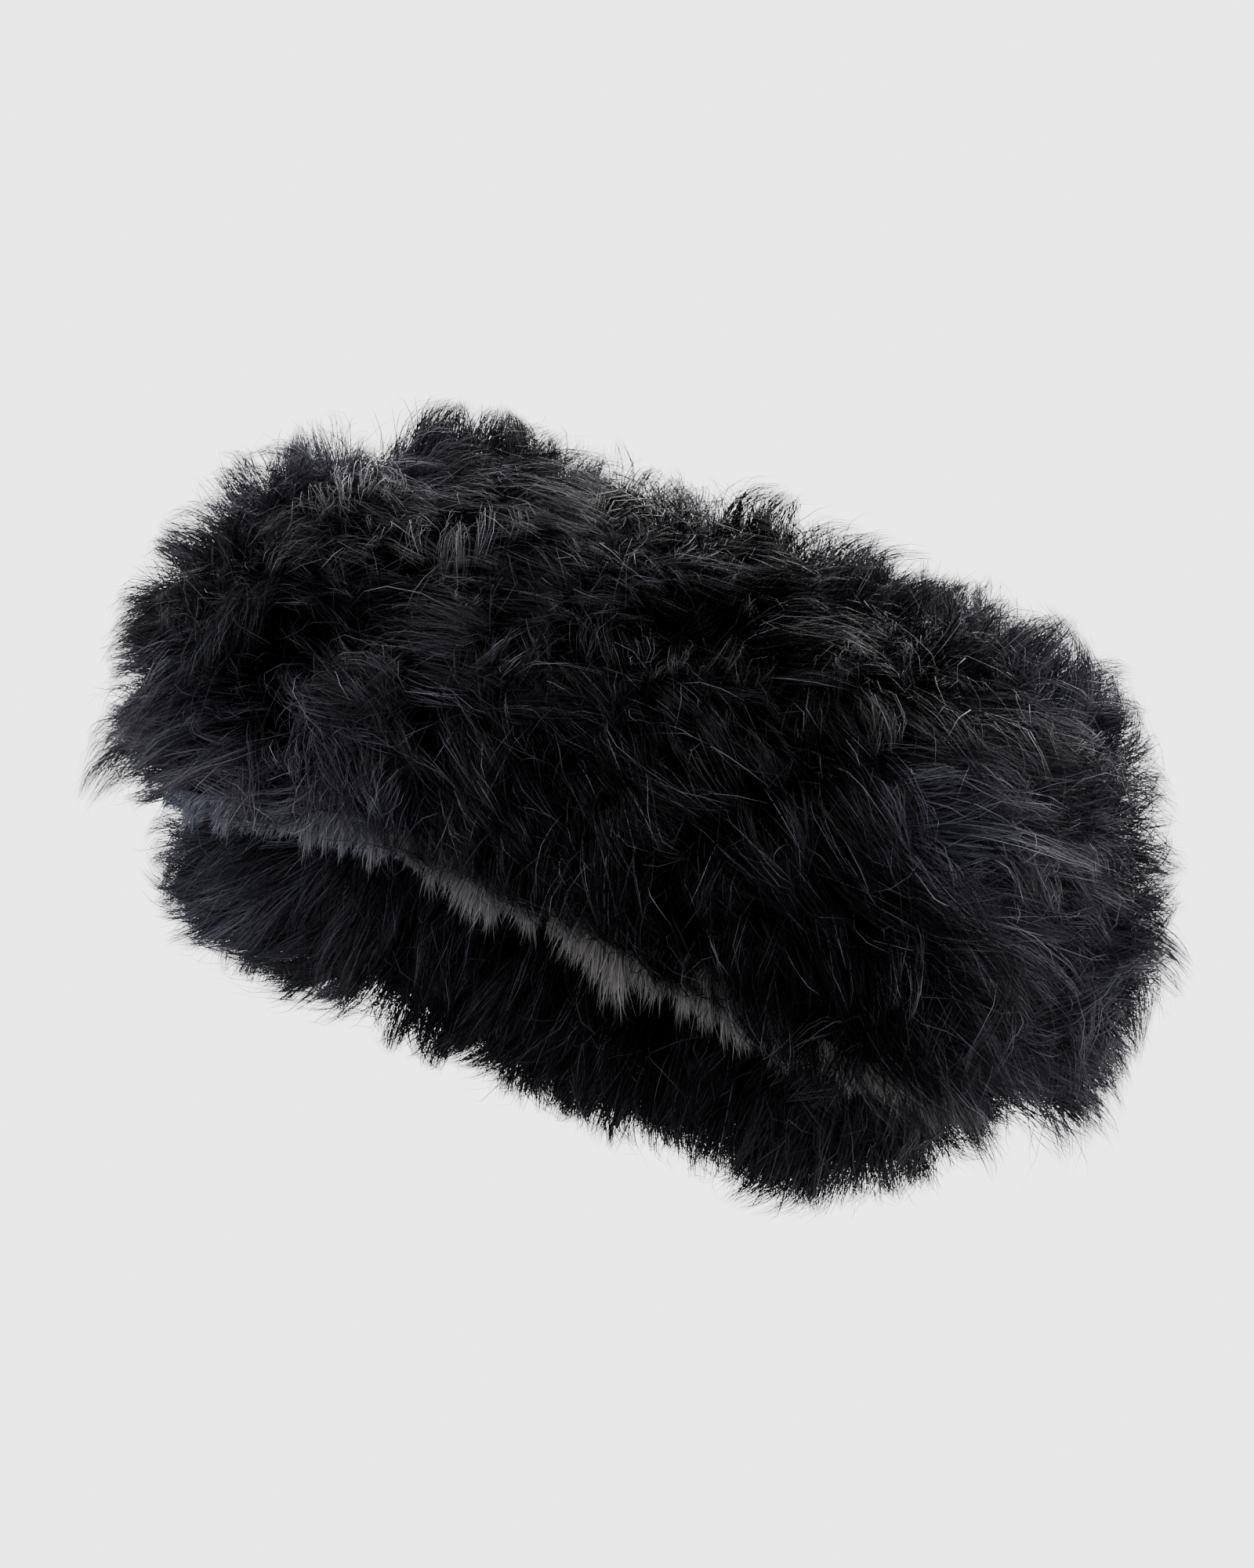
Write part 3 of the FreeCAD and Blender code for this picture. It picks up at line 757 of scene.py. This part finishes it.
def grow_pile(half, seed, tufts, locks, hairs, length, steps):
    """All hairs of one half as curves: hairs pulled to their lock, locks to their tuft.
    One tuft in six stands up, the forelocks close to a point, and one hair in eight is
    a loose guard hair. Returns the curves, and the outward direction, tone with painted
    highlight, and tuft centre of every hair."""
    rng = np.random.default_rng(seed)
    inset = UNDERFUR[half]
    t = np.linspace(0, 1, steps + 1)[None, :, None]
    tuft_root, tuft_out = scatter(half, tufts, inset, rng)
    lie = np.where(rng.random(tufts) < 0.18, 0.25, 1.0)
    tuft_length = length * np.where(lie < 1, rng.uniform(0.8, 1.35, tufts),
                                    rng.uniform(0.7, 1.15, tufts))
    tuft_whim = rng.normal(0, 0.25, (tufts, 3))
    if half == "upper":
        for centre, way, size in FORELOCKS:
            near = np.linalg.norm(tuft_root - np.array(centre), axis=1) < size
            lie[near] = 0.0
            off = np.array(centre) - tuft_root[near]
            tuft_length[near] = length * (1.3 - 0.5 * np.linalg.norm(off, axis=1) / size)
            tuft_whim[near] = np.array(way) + 28 * off
    tuft_path, _ = lean_paths(half, tuft_root, tuft_out, tuft_length, tuft_whim, lie, steps)

    owner = rng.integers(0, tufts, tufts * locks)
    lock_root, lock_out = around(half, tuft_root, owner, 0.0045, inset, rng)
    lock_length = tuft_length[owner] * rng.uniform(0.75, 1.15, len(owner))
    lock_whim = tuft_whim[owner] + rng.normal(0, 0.16, (len(owner), 3))
    lock_path, _ = lean_paths(half, lock_root, lock_out, lock_length, lock_whim, lie[owner], steps)
    gather = np.where(lie == 0, 0.92, 0.60)[owner][:, None, None]
    lock_path += gather * t ** 1.3 * (tuft_path[owner] - lock_path)
    lock_path = waving(lock_path, rng.uniform(0.0005, 0.0030, len(owner)), (0.3, 0.9), rng)
    # Each lock's share of painted highlight, where it would catch the light on its curve.
    lock_highlight = rng.random(len(owner)) ** 3

    lock = rng.integers(0, len(owner), tufts * locks * hairs)
    root, outward = around(half, lock_root, lock, 0.0016, inset, rng)
    loose = rng.random(len(lock)) < 0.12
    hair_length = lock_length[lock] * np.where(loose, rng.uniform(0.8, 1.15, len(lock)),
                                               rng.uniform(0.6, 1.1, len(lock)))
    stray = np.where(loose, 0.45, 0.10)[:, None]
    whim = lock_whim[lock] + rng.normal(0, 1, (len(lock), 3)) * stray
    curve, tone_and_highlight = lean_paths(half, root, outward, hair_length, whim, lie[owner[lock]], steps)
    pull = np.where(loose, rng.uniform(0.0, 0.3, len(lock)), rng.uniform(0.65, 1.0, len(lock)))
    curve += pull[:, None, None] * t ** 1.3 * (lock_path[lock] - curve)
    curve = waving(curve, np.where(loose, 0.0020, 0.0007) * rng.uniform(0.4, 1.6, len(lock)),
                   (0.4, 1.5), rng)
    if half == "upper":
        drape = (0.0012 + 0.0028 * np.clip((root[:, :1] - 0.04) / 0.06, 0, 1)
                 + 0.009 * np.clip((-0.085 - root[:, :1]) / 0.03, 0, 1))
        curve[..., 2] = over_lip(curve, drape * (0.5 + 5 * rng.random((len(lock), 1)) ** 4))
    spread = np.random.default_rng(seed + 100)
    tuft_room = np.where(lie == 0, 1.0, spread.uniform(0.45, 1.0, tufts))
    room = tuft_room[owner[lock]] * spread.uniform(0.7, 1.0, len(lock))
    curve = within_reach(half, curve, room[:, None, None])
    chance = rng.random(len(lock))
    # Each hair's tone: the strokes' painted highlight scaled by its lock's share and its own
    # chance, and a few hairs painted bright as glinting strands.
    tone_and_highlight = (tone_and_highlight * (0.25 + 1.4 * lock_highlight[lock]) * (0.35 + 1.1 * chance ** 2)
            + 0.10 * lock_highlight[lock] * chance + 0.85 * rng.random(len(lock)) ** 14)
    return curve, outward, np.clip(tone_and_highlight, 0, 1), tuft_root[owner[lock]]


def ribbons(name, curve, outward, tone_and_highlight, width, material, rng):
    """A mesh of tapering ribbons, one to a curve, each turned at random about its length
    within a right angle of facing outward. Vertices run in pairs along a hair to one tip."""
    count, points, _ = curve.shape
    steps = points - 1
    along = unit(np.gradient(curve, axis=1))
    across = unit(np.cross(along, outward[:, None]))
    turn = np.clip(rng.normal(0, 0.65, count), -1.4, 1.4)[:, None, None]
    side = across * np.cos(turn) + np.cross(along, across) * np.sin(turn)
    t = np.linspace(0, 1, points)
    half_width = (width / 2)[:, None] * (1 - 0.75 * t ** 2)[None]
    to_edge = side * half_width[..., None]
    pairs = np.stack([curve - to_edge, curve + to_edge], 2)
    verts = np.concatenate([pairs[:, :steps].reshape(count, steps * 2, 3), curve[:, steps:]], 1)
    ring = np.arange(steps - 1)[:, None] * 2 + np.array([0, 1, 3, 2])
    pattern = np.concatenate([ring.ravel(), [2 * steps - 2, 2 * steps - 1, 2 * steps]])
    per_hair = 2 * steps + 1
    corners = (pattern[None] + per_hair * np.arange(count)[:, None]).ravel()
    starts = (np.arange(steps)[None] * 4 + len(pattern) * np.arange(count)[:, None]).ravel()
    piece = add_mesh(name, verts.reshape(-1, 3), corners, starts, material)
    place = np.concatenate([np.repeat(t[:steps], 2), [1.0]])
    for label, values in (("along", np.tile(place, count)), ("tone_and_highlight", np.repeat(tone_and_highlight, per_hair))):
        attribute = piece.data.attributes.new(label, "FLOAT", "POINT")
        attribute.data.foreach_set("value", values.astype(np.float32))
    return piece


def hair_widths(count, rng):
    """A width for each hair, some finer and some coarser than the usual."""
    return HAIR_WIDTH * rng.uniform(0.7, 1.35, count)


UPPER_PARTS = (("left_end", 3), ("centre", 4), ("right_end", 3))      # and how many pieces each


def end_of(x, straight):
    """0 for the left end, 1 for the centre, 2 for the right end."""
    return 1 + (x > straight).astype(int) - (x < -straight).astype(int)


def sector(y, z, centre_z, parts):
    """Which of the equal slices of the section, counted from the front over the top."""
    angle = np.arctan2(z - centre_z, -y)
    angle = np.where(angle < -math.pi / 2, angle + math.tau, angle)
    return np.clip(((angle + 0.35) / (math.pi + 0.7) * parts).astype(int), 0, parts - 1)


rng = np.random.default_rng(11)
share = 1.0
curve, outward, tone_and_highlight, home = grow_pile(
    "upper", seed=21, tufts=860, locks=10, hairs=int(15 * share), length=0.035,
    steps=HAIR_STEPS["upper"])
which_end = end_of(home[:, 0], UPPER_STRAIGHT)
for index, (label, parts) in enumerate(UPPER_PARTS):
    which = sector(home[:, 1], home[:, 2], UPPER_CENTRE_Z - 0.01, parts)
    for part in range(parts):
        mine = (which_end == index) & (which == part)
        piece = ribbons(f"upper_{label}_pile_{part + 1}", curve[mine], outward[mine], tone_and_highlight[mine],
                        hair_widths(mine.sum(), rng), BLACK_PILE, rng)
        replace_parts(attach(piece, "upper_half"), f"upper_{label}_fur")

curve, outward, tone_and_highlight, home = grow_pile(
    "lower", seed=22, tufts=440, locks=9, hairs=int(13 * share), length=0.025,
    steps=HAIR_STEPS["lower"])
curve[..., 2] = np.maximum(curve[..., 2], 0.0004)
which_end = end_of(home[:, 0], LOWER_STRAIGHT)
for index, label in enumerate(("left_end", "centre", "right_end")):
    for part, face in enumerate(("front", "back")):
        mine = (which_end == index) & ((home[:, 1] > LOWER_CENTRE_Y) == bool(part))
        piece = ribbons(f"lower_{label}_pile_{face}", curve[mine], outward[mine],
                        tone_and_highlight[mine] * LOWER_HIGHLIGHT, hair_widths(mine.sum(), rng), BLACK_PILE, rng)
        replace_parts(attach(piece, "lower_half"), f"lower_{label}_fur")

# ==== Hem fringe ===================================================================
# The raw edge of the pile fabric's grey backing, frayed out past the hem tape. It hangs
# as a ragged band in front of the mouth, widest just right of the middle, bluish at
# the left end and brownish from the middle on.
GREY_FRINGE = pile_material("grey_fringe", (0.205, 0.188, 0.182), (0.320, 0.298, 0.292),
                            0.05, 0.8, (0.200, 0.218, 0.265))
FRINGE_FIBRES = 13000
FRINGE_LEFT = -0.094
FRINGE_RIGHT = 0.120
FRINGE_WIDTH = 0.00030
rng = np.random.default_rng(51)
count = int(FRINGE_FIBRES * share)
x = rng.uniform(FRINGE_LEFT, FRINGE_RIGHT, count)
inset = 0.0075 + rng.uniform(-0.0015, 0.0015, count)
past_straight = np.clip(np.abs(x) - UPPER_STRAIGHT, 0, None)
y = -np.sqrt(np.maximum((UPPER_RADIUS - inset) ** 2 - past_straight ** 2, 0))
root = np.stack([x, y, lip_height(x, y) + rng.uniform(0.0, 0.004, count)], -1)
outward = unit(np.stack([np.sign(x) * past_straight, y, 0 * x], -1))
middle_band = np.exp(-((x - 0.028) / 0.032) ** 2)
along_lip = np.stack([x, 0 * x, 0 * x], -1)
ragged = ripple(along_lip, 0.007, 52)[:, 0] * 0.55
ragged += ripple(along_lip, 0.0018, 53)[:, 0] * 0.45
swell = 1 + 0.22 * ripple(along_lip, 0.028, 54)[:, 0]
size = np.clip((x + 0.099) / 0.018, 0.25, 1) * (0.0056 + 0.0066 * middle_band)
size = size * np.clip(1.9 - x / 0.12, 0.7, 1) * np.clip(swell + 0.5 * ragged, 0.3, 1.7)
size = size * rng.uniform(0.45, 1.15, count)
fall = np.stack([0.25 * np.clip(x / 0.1, -1, 1) + 0.3 * ragged, 0 * x, -np.ones(count)], -1)
fall += rng.normal(0, 0.12, (count, 3))
curve = paths(root, unit(0.9 * outward + fall * 0.8), unit(0.15 * outward + fall), size, 3)
curve = waving(curve, np.full(count, 0.0006), (0.3, 1.0), rng)
bluish = np.clip(0.15 - x / 0.12, 0, 1) * rng.uniform(0.5, 1.2, count)
fringe = ribbons("upper_hem_fringe", curve, outward, np.clip(bluish, 0, 1),
                 FRINGE_WIDTH * rng.uniform(0.7, 1.3, count), GREY_FRINGE, rng)
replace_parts(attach(fringe, "upper_half"), "upper_hem_binding")

# ==== Pile backing and underfur ====================================================
# The knitted backing that the pile is looped through, with the short dense wool between
# the roots felted into soft lumps on it: a matt black block that stands in for the shade
# deep in the coat, so no light comes back from there. One piece of fabric is stretched
# over each half's foam.
# A matt black block: painted shade deep in the coat.
UNDERFUR_SHADE = bpy.data.materials.new("coat_depth_shade")
UNDERFUR_SHADE.use_nodes = True
shader = UNDERFUR_SHADE.node_tree.nodes["Principled BSDF"]
shader.inputs["Base Color"].default_value = (0.0012, 0.0012, 0.0015, 1)
shader.inputs["Roughness"].default_value = 0.95
shader.inputs["Specular IOR Level"].default_value = 0.05
for half, body in BODIES.items():
    grid = half_grid(half, UNDERFUR[half], *FUR_GRID, 0.0006)
    lumps = 0.0014 * ripple(grid, 0.012, 31)[..., 0] + 0.0007 * ripple(grid, 0.005, 32)[..., 0]
    depth = UNDERFUR[half] + lumps + tuck(half, grid)
    outer, _ = lay_on(half, grid, depth)
    if half == "lower":
        outer[..., 2] = np.maximum(outer[..., 2], 0.002)
    inner, _ = lay_on(half, grid, np.maximum(PILE, depth + 0.001))
    piece = closed_sheet(f"{half}_underfur_shade", outer, inner, UNDERFUR_SHADE)
    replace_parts(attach(piece, body), f"{half}_centre_fur")
    flat, area = cut_size(grid)

# ==== Ground, light and camera =====================================================
# A seamless pale ground; large soft lights from both sides and above.
GROUND = (0.807, 0.807, 0.807)


def glowing(name, strength):
    """A surface that shows the ground's colour evenly, whatever light falls on it."""
    material = bpy.data.materials.new(name)
    material.use_nodes = True
    nodes = material.node_tree.nodes
    nodes.remove(nodes["Principled BSDF"])
    glow = nodes.new("ShaderNodeEmission")
    glow.inputs["Color"].default_value = (*GROUND, 1)
    glow.inputs["Strength"].default_value = strength
    material.node_tree.links.new(glow.outputs[0], nodes["Material Output"].inputs["Surface"])
    return material


seamless = glowing("seamless_ground", 4.6)
for name, place, turn in (("floor", (0, 0, -0.0005), 0), ("backdrop", (0, 3.0, 0), 90)):
    bpy.ops.mesh.primitive_plane_add(size=12, location=place, rotation=(math.radians(turn), 0, 0))
    board = bpy.context.object
    board.name = name
    board.data.materials.append(seamless)
    board.visible_diffuse = False
    board.visible_glossy = name == "backdrop"

world = bpy.data.worlds.new("studio")
bpy.context.scene.world = world
world.use_nodes = True
world.node_tree.nodes["Background"].inputs["Color"].default_value = (0.5, 0.52, 0.56, 1)
world.node_tree.nodes["Background"].inputs["Strength"].default_value = 0.95


def soft_light(name, place, aim, size, power):
    """A rectangular area light that faces the point it is aimed at."""
    light = bpy.data.lights.new(name, "AREA")
    light.shape = "RECTANGLE"
    light.size, light.size_y = size
    light.energy = power
    lamp = bpy.data.objects.new(name, light)
    lamp.location = place
    lamp.rotation_euler = (Vector(aim) - Vector(place)).to_track_quat("-Z", "Y").to_euler()
    bpy.context.scene.collection.objects.link(lamp)


soft_light("right_softbox", (1.1, -0.5, 0.75), (0, 0, 0.08), (0.7, 1.0), 4)
soft_light("left_softbox", (-1.1, -0.4, 0.55), (0, 0, 0.06), (0.6, 1.0), 9)
soft_light("top_softbox", (-0.2, 0.3, 1.3), (0, 0, 0.1), (0.9, 0.9), 15)
soft_light("rim_softbox", (0.1, 1.2, 0.8), (0, 0, 0.1), (1.6, 0.6), 45)

CAMERA_AZIMUTH = math.radians(20.0)
CAMERA_ELEVATION = math.radians(18.0)
CAMERA_ROLL = math.radians(13.5)
CAMERA_DISTANCE = 0.537
AIM = Vector((0, 0, 0.067))
camera = bpy.data.cameras.new("camera")
camera.sensor_fit = "HORIZONTAL"
camera.sensor_width = 36
camera.lens = 58.5
camera.shift_x = 0.015
camera.shift_y = 0.031
camera.clip_start = 0.01
view = bpy.data.objects.new("camera", camera)
back = Vector((math.sin(CAMERA_AZIMUTH) * math.cos(CAMERA_ELEVATION),
               -math.cos(CAMERA_AZIMUTH) * math.cos(CAMERA_ELEVATION), math.sin(CAMERA_ELEVATION)))
view.matrix_world = (Matrix.Translation(AIM + back * CAMERA_DISTANCE)
                     @ back.to_track_quat("Z", "Y").to_matrix().to_4x4()
                     @ Matrix.Rotation(CAMERA_ROLL, 4, "Z"))
bpy.context.scene.collection.objects.link(view)
bpy.context.scene.camera = view
